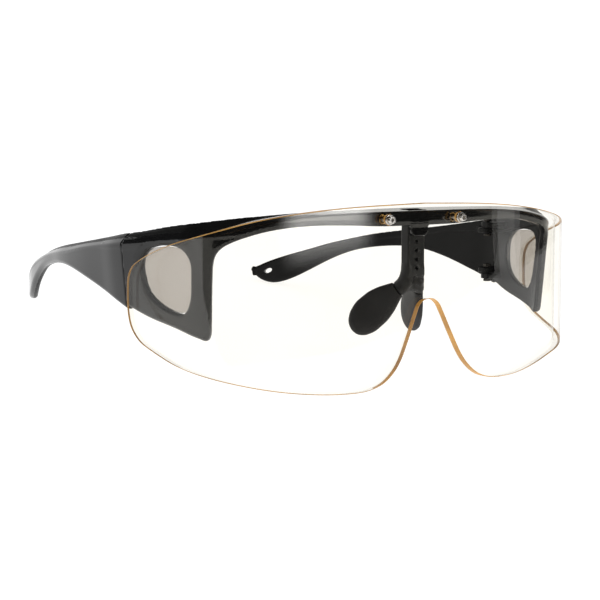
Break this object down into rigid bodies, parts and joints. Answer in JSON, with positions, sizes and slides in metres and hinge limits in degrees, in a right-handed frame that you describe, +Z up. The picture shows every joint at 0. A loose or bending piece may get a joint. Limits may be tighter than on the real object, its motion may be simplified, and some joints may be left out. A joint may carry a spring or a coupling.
{
  "type": "dental loupe eyewear",
  "caption": "Wraparound clear protective shield on a black loupe-style frame, with tinted side windows, a sliding nose bracket with soft pads and temples that fold in.",
  "frame": {"origin": "middle of the bounding box, on the table that the shield's lower edge and both temple tips stand on", "axes": "+X across the face, to the right of someone looking at the front, which is the wearer's left; +Y from the shield back to the ears; +Z up"},
  "size_m": [0.1804, 0.1736, 0.0605],
  "materials": {
    "clear_shield": "clear, polished, faintly warm, with amber cut edges",
    "tinted_window": "grey tint, polished",
    "black_frame": "high gloss black",
    "black_bracket": "semi-gloss black",
    "soft_pad": "matt dark grey",
    "stainless": "bright turned",
    "brass": "turned"
  },
  "bodies": {
    "frame": {"front_frame": "black_frame", "hinge_nut_lower_left": "brass", "hinge_nut_lower_right": "brass", "hinge_nut_upper_left": "brass", "hinge_nut_upper_right": "brass", "hinge_screw_lower_left": "stainless", "hinge_screw_lower_right": "stainless", "hinge_screw_upper_left": "stainless", "hinge_screw_upper_right": "stainless", "shield": "clear_shield", "shield_screw_left": "stainless", "shield_screw_right": "stainless", "shield_washer_left": "stainless", "shield_washer_right": "stainless", "side_window_left": "tinted_window", "side_window_right": "tinted_window", "threaded_insert_left": "brass", "threaded_insert_right": "brass"},
    "temple_left": {"temple_left": "black_frame"},
    "temple_right": {"temple_right": "black_frame"},
    "nose_piece": {"nose_bracket": "black_bracket", "nose_pad_left": "soft_pad", "nose_pad_right": "soft_pad"}
  },
  "joints": [
    {"name": "temple_right_fold", "type": "hinge", "parent": "frame", "child": "temple_right", "pos_m": [0.0786, -0.02762, 0.03292], "axis": [0, 0.1267, 0.9919], "range_deg": [0, 90]},
    {"name": "temple_left_fold", "type": "hinge", "parent": "frame", "child": "temple_left", "pos_m": [-0.0786, -0.02762, 0.03292], "axis": [0, 0.1267, 0.9919], "range_deg": [-80, 0]},
    {"name": "nose_bracket_slide", "type": "slide", "parent": "frame", "child": "nose_piece", "axis": [0, 0.1267, 0.9919], "range_m": [0, 0.009]}
  ]
}
